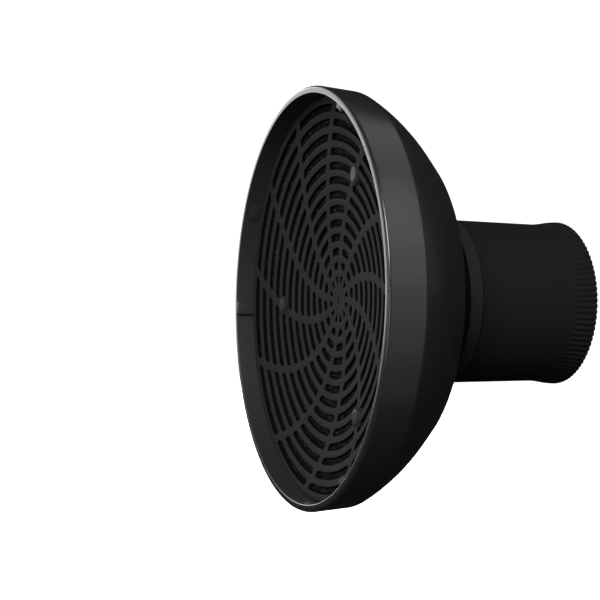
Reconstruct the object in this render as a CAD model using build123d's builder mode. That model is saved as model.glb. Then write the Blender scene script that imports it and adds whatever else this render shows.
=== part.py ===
"""Bowl diffuser for a hair dryer: a dished swirl grille in a round bowl that turns on a rubber nozzle sleeve.

Frame: millimetres, +X from the grille towards the dryer, +Z up, origin at the centre of the sleeve's mouth.
Stations are distances behind the front lip, and angles run clockwise from the top, seen from the front.
"""

import os
from math import asin, atan, cos, degrees, radians, sin, sqrt, tan

from build123d import *

# Bowl: a band with a little draft, a sharp crease, then a dome that ends in an edge round a steep back
LENGTH = 116.5
LIP_RADIUS = 85.0
LIP_WALL = 3.1
LIP_ROUND = 1.3
CREASE_STATION = 15.5
CREASE_RADIUS = 83.75
DOME_RADIUS = 77.0
DOME_START_SLOPE = 27.6
DOME_END_SLOPE = 46.8
EDGE_RADIUS = 62.2
EDGE_ROUND = 2.5
BACK_SLOPE = 70.0
SHELL_WALL = 2.6
SEAT_STATION = 10.5
SEAT_RADIUS = 80.4

# Ribs and catches on the inside of the lip, three of each
THIRDS = (27.0, 147.0, 267.0)
RIB_WIDTH = 5.5
RIB_HEIGHT = 1.8
CATCH_OFFSET = 31.0
CATCH_WIDTH = 7.3
CATCH_FRONT = 2.8
CATCH_BACK = 7.1
CATCH_HEIGHT = 0.4

# Neck: groove and collar outside, bearing bore and retaining stack inside
GROOVE_RADIUS = 34.2
GROOVE_ROUND = 1.5
COLLAR_FRONT = 58.1
COLLAR_BACK = 63.8
COLLAR_RADIUS = 35.0
NECK_BORE_RADIUS = 31.6
NECK_FRONT = 43.0
STACK_RADIUS = 34.6
STACK_WALL = 2.2
WASHER_THICKNESS = 0.6
WASHER_GAP = 0.25
FLANGE_THICKNESS = 2.0
SHOULDER_STATION = NECK_FRONT + 2 * (WASHER_THICKNESS + WASHER_GAP) + FLANGE_THICKNESS

# Retaining ring and its four screws
RING_THICKNESS = 2.5
RING_BORE_RADIUS = 30.5
RING_RADIUS = 44.6
RING_SCREW_CIRCLE = 40.6
RING_SCREWS = 4
RING_SCREW_TURN = 45.0
SCREW_BOSS_RADIUS = 3.4
SCREW_BOSS_LENGTH = 5.0
RING_SHANK_LENGTH = 6.0

# Screws: 3 mm pan heads with a cross recess
SHANK_RADIUS = 1.45
SHANK_LENGTH = 9.0
PILOT_RADIUS = 1.5
CLEARANCE_RADIUS = 1.65
HEAD_RADIUS = 2.75
HEAD_HEIGHT = 2.0
RECESS_LENGTH = 3.0
RECESS_WIDTH = 0.7
RECESS_DEPTH = 1.1

# Grille: a dished plate, thirteen rings of slots between twelve curved spokes
GRILLE_RADIUS = 81.15
GRILLE_WALL = 1.6
DISH_RADIUS = 79.0
DISH_EDGE = 7.8
DISH_DEPTH = 8.6
DISH_CURVE = (DISH_RADIUS**2 + DISH_DEPTH**2) / (2 * DISH_DEPTH)
SKIRT_RADIUS = 80.0
SKIRT_WALL = 1.2
SKIRT_BACK = 15.0
SPOKES = 12
SPOKE_WIDTH = 3.05
HUB_SPOKE_WIDTH = 2.4
SPOKE_PHASE = -3.6
SPOKE_SWIRL = 0.548
SLOT_ROWS = 13
FIRST_SLOT_RADIUS = 8.0
SLOT_PITCH = 5.73
SLOT_WIDTH = 3.05
SLOT_ROUND = 1.2
NOTCH_CLEARANCE = 0.4

# Bosses on three spokes, each with a screw under a domed plug
BOSS_CIRCLE = 54.4
BOSS_RADIUS = 4.3
BOSS_PROUD = 0.6
BOSS_BACK = 19.0
BOSS_FLOOR = 3.0
PLUG_RADIUS = 3.3
PLUG_GAP = 0.03
PLUG_FLANGE = 0.9
PLUG_DOME = 0.5
PLUG_DIMPLE_RADIUS = 1.1
PLUG_DIMPLE_DEPTH = 0.3

# Foam behind the grille
FOAM_THICKNESS = 5.8
FOAM_RADIUS = 78.4
FOAM_GAP = 0.15
FOAM_HOLE_RADIUS = 4.8

# Air spreader: a disc with a blunt cone, held by three arms
BAFFLE_FRONT = 24.2
BAFFLE_THICKNESS = 2.0
BAFFLE_RADIUS = 28.0
CONE_RADIUS = 12.0
CONE_HEIGHT = 6.5
CONE_ROUND = 3.0
ARM_WIDTH = 7.0
POST_RADIUS = 4.0
VENT_CIRCLE = 20.0
VENT_RADIUS = 3.4
VENTS = 9

# Carrier that turns in the neck, with a drag ring in its groove
CARRIER_BORE_RADIUS = 28.2
FLANGE_RADIUS = 34.2
JOURNAL_RADIUS = 31.52
JOURNAL_BACK = 64.1
SPIGOT_RADIUS = 30.6
SPIGOT_BACK = 84.0
BEAD_RADIUS = 31.4
BEAD_FRONT = 77.0
BEAD_LENGTH = 3.0
DRAG_RING_STATION = 55.0
DRAG_RING_SECTION = 0.95
DRAG_RING_RADIUS = 30.6
DRAG_GROOVE_WIDTH = 2.3

# Rubber sleeve
SLEEVE_FRONT = 64.4
SLEEVE_FRONT_RADIUS = 33.9
SLEEVE_WAIST_STATION = 103.5
SLEEVE_WAIST_RADIUS = 33.3
SLEEVE_MOUTH_RADIUS = 34.6
SLEEVE_EDGE_ROUND = 0.6
NOZZLE_BORE_RADIUS = 29.5
NOZZLE_BORE_LENGTH = 30.0


def at(station):
    """Place along X of a station behind the front lip."""
    return station - LENGTH


def on_profile(station, radius):
    """Point of a turned profile in the XZ plane."""
    return (at(station), radius)


def polar(radius, angle):
    """Point on a plane that faces along +X, at a clock angle seen from the front."""
    return (-radius * sin(radians(angle)), radius * cos(radians(angle)))


def across(station):
    """Plane square to the axis at a station, its x along +Y and its y along +Z."""
    return Plane.YZ.offset(at(station))


def dish(radius):
    """Station of the grille's front face at a radius: part of a large sphere centred on the axis."""
    return DISH_EDGE + DISH_DEPTH - DISH_CURVE + sqrt(DISH_CURVE**2 - radius**2)


def spoke_angle(radius):
    """Clock angle of a spoke's middle line, which swirls evenly with the radius."""
    return SPOKE_PHASE + SPOKE_SWIRL * radius


def spoke_half_angle(radius, width):
    """Half the angle that a spoke of this width takes up at a radius."""
    lean = atan(radius * radians(SPOKE_SWIRL))
    return degrees(asin(width / 2 / cos(lean) / radius))


def slot_face(row):
    """One slot: two ring arcs joined by ends that run along the spokes."""
    middle = FIRST_SLOT_RADIUS + row * SLOT_PITCH
    width = HUB_SPOKE_WIDTH if row == 0 else SPOKE_WIDTH
    pitch = 360 / SPOKES
    sides = {}
    for radius in (middle - SLOT_WIDTH / 2, middle + SLOT_WIDTH / 2):
        half = spoke_half_angle(radius, width)
        start = spoke_angle(radius) + half
        sides[radius] = (start, spoke_angle(radius) + pitch - half)
    (inner, (in_start, in_end)), (outer, (out_start, out_end)) = sides.items()
    inner_width = radians(in_end - in_start) * inner
    with BuildSketch() as slot:
        with BuildLine():
            ThreePointArc(
                polar(inner, in_start), polar(inner, (in_start + in_end) / 2), polar(inner, in_end)
            )
            Line(polar(inner, in_end), polar(outer, out_end))
            ThreePointArc(
                polar(outer, out_end), polar(outer, (out_start + out_end) / 2), polar(outer, out_start)
            )
            Line(polar(outer, out_start), polar(inner, in_start))
        make_face()
        fillet(slot.vertices(), min(SLOT_ROUND, inner_width * 0.4))
    return slot.sketch


def thirds_on(station, radius, offset=0.0):
    """Three planes square to the axis at the ribs' angles, moved by an offset angle."""
    return [across(station).location * Location((*polar(radius, turn + offset), 0), (0, 0, turn + offset))
            for turn in THIRDS]


def pan_head_screw(station, point, length, name):
    """Screw whose head faces the front, seated with the underside of its head at a station."""
    with BuildPart() as screw:
        with BuildSketch(across(station - HEAD_HEIGHT)):
            with Locations(point):
                Circle(HEAD_RADIUS)
        extrude(amount=HEAD_HEIGHT)
        fillet(screw.edges().group_by(Axis.X)[0], HEAD_HEIGHT * 0.45)
        with BuildSketch(across(station)):
            with Locations(point):
                Circle(SHANK_RADIUS)
        extrude(amount=length)
        chamfer(screw.edges().group_by(Axis.X)[-1], SHANK_RADIUS * 0.5)
        with BuildSketch(across(station - HEAD_HEIGHT)):
            with Locations(point):
                Rectangle(RECESS_LENGTH, RECESS_WIDTH)
                Rectangle(RECESS_WIDTH, RECESS_LENGTH)
        extrude(amount=RECESS_DEPTH, mode=Mode.SUBTRACT)
    screw.part.label = name
    return screw.part


def washer(front, inner, outer, name):
    """Flat ring of the washers' thickness."""
    with BuildPart() as ring:
        with BuildSketch(across(front)):
            Circle(outer)
            Circle(inner, mode=Mode.SUBTRACT)
        extrude(amount=WASHER_THICKNESS)
    ring.part.label = name
    return ring.part


pieces = []

# --- Bowl -------------------------------------------------------------------

# The dome is one arc that leaves the crease at the start slope and runs out straight at the end slope.
# It ends in an edge, and a steep cone closes the back down to the neck's groove.
dome_station = CREASE_STATION - DOME_RADIUS * sin(radians(DOME_START_SLOPE))
dome_height = CREASE_RADIUS - DOME_RADIUS * cos(radians(DOME_START_SLOPE))


def dome_point(slope, inset=0.0):
    """Point of the dome where its slope has this value, moved in through the wall."""
    reach = DOME_RADIUS - inset
    return (dome_station + reach * sin(radians(slope)), dome_height + reach * cos(radians(slope)))


def edge_point(inset=0.0):
    """Edge between the dome and the back, moved in through both walls."""
    station, height = dome_point(DOME_END_SLOPE)
    station += (height - EDGE_RADIUS) / tan(radians(DOME_END_SLOPE))
    half = radians(BACK_SLOPE - DOME_END_SLOPE) / 2
    middle = radians(BACK_SLOPE + DOME_END_SLOPE) / 2
    reach = inset / cos(half)
    return (station - reach * sin(middle), EDGE_RADIUS - reach * cos(middle))


def back_station(radius, inset=0.0):
    """Station of the back at a radius, moved in through the wall."""
    station, height = edge_point(inset)
    return station + (height - radius) / tan(radians(BACK_SLOPE))


inner_height = SEAT_RADIUS - dome_height
inner_start = degrees(asin((1 - (inner_height / (DOME_RADIUS - SHELL_WALL)) ** 2) ** 0.5))
middle_slope = (DOME_START_SLOPE + DOME_END_SLOPE) / 2
neck_tube_radius = STACK_RADIUS + STACK_WALL

with BuildPart() as bowl_shell:
    with BuildSketch(Plane.XZ) as profile:
        with BuildLine():
            Polyline(
                on_profile(SEAT_STATION, LIP_RADIUS - LIP_WALL - 0.2),
                on_profile(0, LIP_RADIUS - LIP_WALL),
                on_profile(0, LIP_RADIUS),
                on_profile(CREASE_STATION, CREASE_RADIUS),
            )
            ThreePointArc(
                on_profile(CREASE_STATION, CREASE_RADIUS),
                on_profile(*dome_point(middle_slope)),
                on_profile(*dome_point(DOME_END_SLOPE)),
            )
            Polyline(
                on_profile(*dome_point(DOME_END_SLOPE)),
                on_profile(*edge_point()),
                on_profile(back_station(GROOVE_RADIUS), GROOVE_RADIUS),
                on_profile(COLLAR_FRONT, GROOVE_RADIUS),
                on_profile(COLLAR_FRONT, COLLAR_RADIUS),
                on_profile(COLLAR_BACK, COLLAR_RADIUS),
                on_profile(COLLAR_BACK, NECK_BORE_RADIUS),
                on_profile(SHOULDER_STATION, NECK_BORE_RADIUS),
                on_profile(SHOULDER_STATION, STACK_RADIUS),
                on_profile(NECK_FRONT, STACK_RADIUS),
                on_profile(NECK_FRONT, neck_tube_radius),
                on_profile(back_station(neck_tube_radius, SHELL_WALL), neck_tube_radius),
                on_profile(*edge_point(SHELL_WALL)),
                on_profile(*dome_point(DOME_END_SLOPE, SHELL_WALL)),
            )
            ThreePointArc(
                on_profile(*dome_point(DOME_END_SLOPE, SHELL_WALL)),
                on_profile(*dome_point(middle_slope, SHELL_WALL)),
                on_profile(*dome_point(inner_start, SHELL_WALL)),
            )
            Polyline(
                on_profile(*dome_point(inner_start, SHELL_WALL)),
                on_profile(SEAT_STATION, SEAT_RADIUS),
                on_profile(SEAT_STATION, LIP_RADIUS - LIP_WALL - 0.2),
            )
        make_face()
        fillet(profile.vertices().group_by(Axis.X)[0], LIP_ROUND)
        corners = profile.vertices()
        fillet(corners.sort_by_distance(on_profile(*edge_point()))[0], EDGE_ROUND)
        corners = profile.vertices()
        root = on_profile(back_station(GROOVE_RADIUS), GROOVE_RADIUS)
        fillet(corners.sort_by_distance(root)[0], GROOVE_ROUND)
    revolve(axis=Axis.X)
    # Full-depth ribs inside the lip, flush with its front
    with BuildSketch(*thirds_on(LIP_ROUND * 0.6, LIP_RADIUS - LIP_WALL)) as ribs:
        with Locations((0, -RIB_HEIGHT / 2 + 0.5)):
            RectangleRounded(RIB_WIDTH, RIB_HEIGHT + 1.0, 1.0)
    extrude(amount=SEAT_STATION - LIP_ROUND * 0.6)
    # Low catch pads between the ribs, just in front of the grille's edge
    with BuildSketch(*thirds_on(CATCH_FRONT, LIP_RADIUS - LIP_WALL, CATCH_OFFSET)) as catches:
        with Locations((0, 0.4)):
            Rectangle(CATCH_WIDTH, 2 * (CATCH_HEIGHT + 0.4))
    extrude(amount=CATCH_BACK - CATCH_FRONT)
    # Bosses for the ring's screws, standing on the inside of the back
    with BuildSketch(across(NECK_FRONT)) as screw_bosses:
        with PolarLocations(RING_SCREW_CIRCLE, RING_SCREWS, start_angle=RING_SCREW_TURN):
            Circle(SCREW_BOSS_RADIUS)
    extrude(amount=SCREW_BOSS_LENGTH)
    with BuildSketch(across(NECK_FRONT)) as pilots:
        with PolarLocations(RING_SCREW_CIRCLE, RING_SCREWS, start_angle=RING_SCREW_TURN):
            Circle(PILOT_RADIUS)
    extrude(amount=RING_SHANK_LENGTH - RING_THICKNESS + 0.5, mode=Mode.SUBTRACT)
bowl_shell.part.label = "bowl_shell"
pieces.append(bowl_shell.part)

# --- Grille -----------------------------------------------------------------

slot_rows = [slot_face(row) for row in range(SLOT_ROWS)]
skirt_inner = SKIRT_RADIUS - SKIRT_WALL
boss_points = [polar(BOSS_CIRCLE, turn) for turn in THIRDS]
boss_front = dish(BOSS_CIRCLE) - BOSS_PROUD

with BuildPart() as front_grille:
    with BuildSketch(Plane.XZ) as dish_profile:
        with BuildLine():
            ThreePointArc(
                on_profile(dish(0), 0),
                on_profile(dish(DISH_RADIUS / 2), DISH_RADIUS / 2),
                on_profile(DISH_EDGE, DISH_RADIUS),
            )
            Polyline(
                on_profile(DISH_EDGE, DISH_RADIUS),
                on_profile(DISH_EDGE, GRILLE_RADIUS),
                on_profile(DISH_EDGE + GRILLE_WALL, GRILLE_RADIUS),
                on_profile(DISH_EDGE + GRILLE_WALL, SKIRT_RADIUS),
                on_profile(SKIRT_BACK, SKIRT_RADIUS),
                on_profile(SKIRT_BACK, skirt_inner),
                on_profile(dish(skirt_inner) + GRILLE_WALL, skirt_inner),
            )
            ThreePointArc(
                on_profile(dish(skirt_inner) + GRILLE_WALL, skirt_inner),
                on_profile(dish(DISH_RADIUS / 2) + GRILLE_WALL, DISH_RADIUS / 2),
                on_profile(dish(0) + GRILLE_WALL, 0),
            )
            Line(on_profile(dish(0) + GRILLE_WALL, 0), on_profile(dish(0), 0))
        make_face()
    revolve(axis=Axis.X)
    with BuildSketch(across(DISH_EDGE - 1)) as slots:
        for slot in slot_rows:
            with PolarLocations(0, SPOKES):
                add(slot)
    extrude(amount=SKIRT_BACK, mode=Mode.SUBTRACT)
    # Notches that pass the lip's ribs
    with BuildSketch(*thirds_on(DISH_EDGE - 1, GRILLE_RADIUS)) as notches:
        with Locations((0, 0.5)):
            Rectangle(
                RIB_WIDTH + 2 * NOTCH_CLEARANCE,
                2 * (RIB_HEIGHT + NOTCH_CLEARANCE - (LIP_RADIUS - LIP_WALL - GRILLE_RADIUS)) + 1.0,
            )
    extrude(amount=GRILLE_WALL + 1, mode=Mode.SUBTRACT)
    # Bosses, each with a pocket for the screw head and plug
    with BuildSketch(across(boss_front)) as bosses:
        with Locations(*boss_points):
            Circle(BOSS_RADIUS)
    extrude(amount=BOSS_BACK - boss_front)
    with BuildSketch(across(boss_front - BOSS_PROUD)) as pockets:
        with Locations(*boss_points):
            Circle(PLUG_RADIUS + PLUG_GAP)
    extrude(amount=BOSS_BACK - BOSS_FLOOR - boss_front + BOSS_PROUD, mode=Mode.SUBTRACT)
    with BuildSketch(across(boss_front)) as clearances:
        with Locations(*boss_points):
            Circle(CLEARANCE_RADIUS)
    extrude(amount=BOSS_BACK - boss_front, mode=Mode.SUBTRACT)
front_grille.part.label = "front_grille"
pieces.append(front_grille.part)

# Domed plugs over the screw heads, each with a small gate dimple
for number, point in enumerate(boss_points, start=1):
    with BuildPart() as boss_plug:
        with BuildSketch(across(boss_front)):
            with Locations(point):
                Circle(PLUG_RADIUS)
        extrude(amount=PLUG_FLANGE)
        with BuildSketch(across(boss_front)):
            with Locations(point):
                Circle(PLUG_RADIUS)
        extrude(amount=-PLUG_DOME, taper=58)
        with BuildSketch(across(boss_front - PLUG_DOME)):
            with Locations(point):
                Circle(PLUG_DIMPLE_RADIUS)
        extrude(amount=PLUG_DIMPLE_DEPTH, mode=Mode.SUBTRACT)
    boss_plug.part.label = f"boss_plug_{number}"
    pieces.append(boss_plug.part)

# --- Foam -------------------------------------------------------------------

foam_front = GRILLE_WALL + FOAM_GAP
foam_back = foam_front + FOAM_THICKNESS

with BuildPart() as foam_disc:
    with BuildSketch(Plane.XZ) as foam_profile:
        with BuildLine():
            ThreePointArc(
                on_profile(dish(0) + foam_front, 0),
                on_profile(dish(FOAM_RADIUS / 2) + foam_front, FOAM_RADIUS / 2),
                on_profile(dish(FOAM_RADIUS) + foam_front, FOAM_RADIUS),
            )
            Line(
                on_profile(dish(FOAM_RADIUS) + foam_front, FOAM_RADIUS),
                on_profile(dish(FOAM_RADIUS) + foam_back, FOAM_RADIUS),
            )
            ThreePointArc(
                on_profile(dish(FOAM_RADIUS) + foam_back, FOAM_RADIUS),
                on_profile(dish(FOAM_RADIUS / 2) + foam_back, FOAM_RADIUS / 2),
                on_profile(dish(0) + foam_back, 0),
            )
            Line(on_profile(dish(0) + foam_back, 0), on_profile(dish(0) + foam_front, 0))
        make_face()
    revolve(axis=Axis.X)
    with BuildSketch(across(DISH_EDGE)) as foam_holes:
        with Locations(*boss_points):
            Circle(FOAM_HOLE_RADIUS)
    extrude(amount=BAFFLE_FRONT, mode=Mode.SUBTRACT)
foam_disc.part.label = "foam_disc"
pieces.append(foam_disc.part)

# --- Air spreader -----------------------------------------------------------

baffle_back = BAFFLE_FRONT + BAFFLE_THICKNESS

with BuildPart() as air_spreader:
    with BuildSketch(Plane.XZ) as spreader_profile:
        with BuildLine():
            Polyline(
                on_profile(BAFFLE_FRONT, 0),
                on_profile(BAFFLE_FRONT, BAFFLE_RADIUS),
                on_profile(baffle_back, BAFFLE_RADIUS),
                on_profile(baffle_back, CONE_RADIUS),
                on_profile(baffle_back + CONE_HEIGHT, CONE_ROUND),
                on_profile(baffle_back + CONE_HEIGHT, 0),
                close=True,
            )
        make_face()
    revolve(axis=Axis.X)
    with BuildSketch(across(BAFFLE_FRONT)) as arms:
        for turn in THIRDS:
            with Locations(Location((*polar((BOSS_CIRCLE + BAFFLE_RADIUS) / 2 - 1, turn), 0), (0, 0, turn))):
                Rectangle(ARM_WIDTH, BOSS_CIRCLE - BAFFLE_RADIUS + 2)
    extrude(amount=BAFFLE_THICKNESS)
    with BuildSketch(across(BOSS_BACK)) as posts:
        with Locations(*boss_points):
            Circle(POST_RADIUS)
    extrude(amount=baffle_back - BOSS_BACK)
    with BuildSketch(across(BOSS_BACK)) as post_pilots:
        with Locations(*boss_points):
            Circle(PILOT_RADIUS)
    extrude(amount=baffle_back - BOSS_BACK, mode=Mode.SUBTRACT)
    with BuildSketch(across(BAFFLE_FRONT)) as vents:
        with PolarLocations(VENT_CIRCLE, VENTS):
            Circle(VENT_RADIUS)
    extrude(amount=BAFFLE_THICKNESS, mode=Mode.SUBTRACT)
air_spreader.part.label = "air_spreader"
pieces.append(air_spreader.part)

for number, point in enumerate(boss_points, start=1):
    pieces.append(pan_head_screw(BOSS_BACK - BOSS_FLOOR, point, SHANK_LENGTH, f"spreader_screw_{number}"))

# --- Swivel stack in the neck -----------------------------------------------

with BuildPart() as retaining_ring:
    with BuildSketch(across(NECK_FRONT - RING_THICKNESS)) as ring_outline:
        Circle(RING_RADIUS)
        Circle(RING_BORE_RADIUS, mode=Mode.SUBTRACT)
        with PolarLocations(RING_SCREW_CIRCLE, RING_SCREWS, start_angle=RING_SCREW_TURN):
            Circle(CLEARANCE_RADIUS, mode=Mode.SUBTRACT)
    extrude(amount=RING_THICKNESS)
    chamfer(retaining_ring.edges().group_by(Axis.X)[0].filter_by(GeomType.CIRCLE).sort_by(SortBy.RADIUS)[-1], 0.8)
retaining_ring.part.label = "retaining_ring"
pieces.append(retaining_ring.part)

for number in range(RING_SCREWS):
    turn = radians(RING_SCREW_TURN + number * 360 / RING_SCREWS)
    point = (RING_SCREW_CIRCLE * cos(turn), RING_SCREW_CIRCLE * sin(turn))
    name = f"ring_screw_{number + 1}"
    pieces.append(pan_head_screw(NECK_FRONT - RING_THICKNESS, point, RING_SHANK_LENGTH, name))

flange_front = NECK_FRONT + WASHER_THICKNESS + WASHER_GAP
flange_back = flange_front + FLANGE_THICKNESS
pieces.append(washer(NECK_FRONT, RING_BORE_RADIUS, STACK_RADIUS, "front_slip_washer"))
pieces.append(
    washer(SHOULDER_STATION - WASHER_THICKNESS, NECK_BORE_RADIUS + 0.3, STACK_RADIUS, "rear_slip_washer")
)

# Carrier: flange, journal that runs in the neck, and a spigot with a bead for the sleeve
groove_floor = DRAG_RING_RADIUS - DRAG_RING_SECTION

with BuildPart() as sleeve_carrier:
    with BuildSketch(Plane.XZ) as carrier_profile:
        with BuildLine():
            Polyline(
                on_profile(flange_front, CARRIER_BORE_RADIUS),
                on_profile(flange_front, FLANGE_RADIUS),
                on_profile(flange_back, FLANGE_RADIUS),
                on_profile(flange_back, JOURNAL_RADIUS),
                on_profile(DRAG_RING_STATION - DRAG_GROOVE_WIDTH / 2, JOURNAL_RADIUS),
                on_profile(DRAG_RING_STATION - DRAG_GROOVE_WIDTH / 2, groove_floor),
                on_profile(DRAG_RING_STATION + DRAG_GROOVE_WIDTH / 2, groove_floor),
                on_profile(DRAG_RING_STATION + DRAG_GROOVE_WIDTH / 2, JOURNAL_RADIUS),
                on_profile(JOURNAL_BACK, JOURNAL_RADIUS),
                on_profile(JOURNAL_BACK, SPIGOT_RADIUS),
                on_profile(BEAD_FRONT, SPIGOT_RADIUS),
                on_profile(BEAD_FRONT, BEAD_RADIUS),
                on_profile(BEAD_FRONT + BEAD_LENGTH, SPIGOT_RADIUS),
                on_profile(SPIGOT_BACK, SPIGOT_RADIUS),
                on_profile(SPIGOT_BACK, CARRIER_BORE_RADIUS),
                close=True,
            )
        make_face()
    revolve(axis=Axis.X)
sleeve_carrier.part.label = "sleeve_carrier"
pieces.append(sleeve_carrier.part)

with BuildPart() as drag_ring:
    with BuildSketch(Plane.XZ) as ring_section:
        with Locations(on_profile(DRAG_RING_STATION, DRAG_RING_RADIUS)):
            Circle(DRAG_RING_SECTION)
    revolve(axis=Axis.X)
drag_ring.part.label = "drag_ring"
pieces.append(drag_ring.part)

# --- Rubber sleeve ----------------------------------------------------------

stop_back = LENGTH - NOZZLE_BORE_LENGTH

with BuildPart() as rubber_sleeve:
    with BuildSketch(Plane.XZ) as sleeve_profile:
        with BuildLine():
            Line(on_profile(SLEEVE_FRONT, SPIGOT_RADIUS), on_profile(SLEEVE_FRONT, SLEEVE_FRONT_RADIUS))
            Line(
                on_profile(SLEEVE_FRONT, SLEEVE_FRONT_RADIUS),
                on_profile(SLEEVE_WAIST_STATION, SLEEVE_WAIST_RADIUS),
            )
            Spline(
                on_profile(SLEEVE_WAIST_STATION, SLEEVE_WAIST_RADIUS),
                on_profile(LENGTH, SLEEVE_MOUTH_RADIUS),
                tangents=((1, 0), (1, 0)),
            )
            Polyline(
                on_profile(LENGTH, SLEEVE_MOUTH_RADIUS),
                on_profile(LENGTH, NOZZLE_BORE_RADIUS),
                on_profile(stop_back, NOZZLE_BORE_RADIUS),
                on_profile(stop_back, CARRIER_BORE_RADIUS),
                on_profile(SPIGOT_BACK, CARRIER_BORE_RADIUS),
                on_profile(SPIGOT_BACK, SPIGOT_RADIUS),
                on_profile(BEAD_FRONT + BEAD_LENGTH, SPIGOT_RADIUS),
                on_profile(BEAD_FRONT, BEAD_RADIUS),
                on_profile(BEAD_FRONT, SPIGOT_RADIUS),
                on_profile(SLEEVE_FRONT, SPIGOT_RADIUS),
            )
        make_face()
        fillet(sleeve_profile.vertices().group_by(Axis.X)[0].sort_by(Axis.Y)[-1], SLEEVE_EDGE_ROUND)
        fillet(sleeve_profile.vertices().group_by(Axis.X)[-1].sort_by(Axis.Y)[-1], SLEEVE_EDGE_ROUND)
    revolve(axis=Axis.X)
rubber_sleeve.part.label = "rubber_sleeve"
pieces.append(rubber_sleeve.part)

os.makedirs("parts", exist_ok=True)
for piece in pieces:
    export_step(piece, f"parts/{piece.label}.step")
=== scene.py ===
"""Looks of a bowl diffuser for a hair dryer: black bowl, dished swirl grille, foam and ribbed sleeve.

Row frame: +X runs from the grille towards the dryer, +Z is up, and the origin is the centre of the
sleeve's mouth. Sizes are in millimetres here and become metres in the meshes. A station is a distance
behind the front lip, and a clock angle runs clockwise from the top, seen from the front.
"""

import logging
from dataclasses import dataclass, field
from enum import Enum
from math import asin, atan, atan2, cos, degrees, hypot, pi, radians, sin, sqrt, tan
from typing import Any, Callable, Iterable, Sequence

import bmesh
import bpy
from mathutils import Matrix, Vector, noise


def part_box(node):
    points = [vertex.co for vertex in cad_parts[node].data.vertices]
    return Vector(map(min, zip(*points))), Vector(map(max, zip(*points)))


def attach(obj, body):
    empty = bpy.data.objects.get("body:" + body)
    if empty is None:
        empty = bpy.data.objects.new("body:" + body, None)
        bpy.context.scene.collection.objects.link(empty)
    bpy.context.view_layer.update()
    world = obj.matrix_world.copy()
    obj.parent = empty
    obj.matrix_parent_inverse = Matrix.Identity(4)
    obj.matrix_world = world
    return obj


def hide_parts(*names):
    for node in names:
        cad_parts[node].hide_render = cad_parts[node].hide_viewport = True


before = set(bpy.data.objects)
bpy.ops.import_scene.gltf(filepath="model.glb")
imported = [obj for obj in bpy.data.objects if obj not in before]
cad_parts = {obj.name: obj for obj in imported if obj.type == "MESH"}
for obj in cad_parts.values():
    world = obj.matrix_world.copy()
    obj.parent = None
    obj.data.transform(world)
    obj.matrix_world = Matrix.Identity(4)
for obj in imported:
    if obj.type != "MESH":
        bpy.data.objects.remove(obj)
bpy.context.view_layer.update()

log = logging.getLogger("diffuser")

MM = 0.001
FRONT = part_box("bowl_shell")[0].x / MM
THIRDS = (27.0, 147.0, 267.0)
AXIS = Vector((1.0, 0.0, 0.0))

Point = tuple[float, float]


class Body(Enum):
    """The bodies that pieces ride on."""

    SLEEVE = "sleeve"
    BOWL = "bowl"
    CASSETTE = "cassette"


# --- Small geometry -----------------------------------------------------------


def at(station: float) -> float:
    """Place along X, in metres, of a station behind the front lip."""
    return (FRONT + station) * MM


def placed(station: float, radius: float, angle: float) -> Vector:
    """Point in the row frame.

    Args:
        station: Distance behind the lip, in mm.
        radius: Distance from the axis, in mm.
        angle: Clock angle in degrees.

    Returns:
        The point in metres.
    """
    turn = radians(angle)
    return Vector((at(station), -radius * MM * sin(turn), radius * MM * cos(turn)))


def arc(centre: Point, radius: float, start: float, end: float, steps: int) -> list[Point]:
    """Points of an arc in the profile plane.

    Args:
        centre: Station and radius of the arc's centre, in mm.
        radius: Radius of the arc, in mm.
        start: First angle in degrees, from the station axis towards larger radii.
        end: Last angle in degrees.
        steps: Number of spans.

    Returns:
        The points from start to end, both included.
    """
    turns = [radians(start + (end - start) * i / steps) for i in range(steps + 1)]
    return [(centre[0] + radius * cos(t), centre[1] + radius * sin(t)) for t in turns]


def new_piece(bm: bmesh.types.BMesh, name: str, body: Body, sharp: float = 35.0) -> bpy.types.Object:
    """Turns a bmesh into a smooth shaded object that rides on a body.

    Args:
        bm: The finished shape in metres, which is freed.
        name: The piece's name.
        body: The body that it rides on.
        sharp: Edges that turn by more degrees than this are shaded sharp.

    Returns:
        The object.
    """
    for face in bm.faces:
        face.smooth = True
    for edge in bm.edges:
        edge.smooth = edge.calc_face_angle(0.0) < radians(sharp)
    mesh = bpy.data.meshes.new(name)
    bm.to_mesh(mesh)
    bm.free()
    piece = bpy.data.objects.new(name, mesh)
    bpy.context.scene.collection.objects.link(piece)
    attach(piece, body.value)
    log.info("%s: %d faces on %s", name, len(mesh.polygons), body.value)
    return piece


def lathe(bm: bmesh.types.BMesh, profile: Sequence[Point], steps: int, closed: bool = True) -> list[Any]:
    """Spins a profile round the axis.

    Args:
        bm: The bmesh that gets the shape.
        profile: Stations and radii in mm. Points on the axis are merged to one pole.
        steps: Number of spans round the axis.
        closed: Whether the profile's ends join up.

    Returns:
        The new vertices.
    """
    before = set(bm.verts)
    verts = [bm.verts.new(placed(station, radius, 0.0)) for station, radius in profile]
    edges = [bm.edges.new(pair) for pair in zip(verts, verts[1:])]
    if closed:
        edges.append(bm.edges.new((verts[-1], verts[0])))
    bmesh.ops.spin(
        bm, geom=verts + edges, cent=(0.0, 0.0, 0.0), axis=AXIS, angle=2 * pi, steps=steps, use_merge=True
    )
    made = [v for v in bm.verts if v not in before]
    bmesh.ops.remove_doubles(bm, verts=made, dist=1e-6)
    made = [v for v in bm.verts if v not in before]
    faces = list({f for v in made for f in v.link_faces})
    bmesh.ops.recalc_face_normals(bm, faces=faces)
    return made


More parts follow.
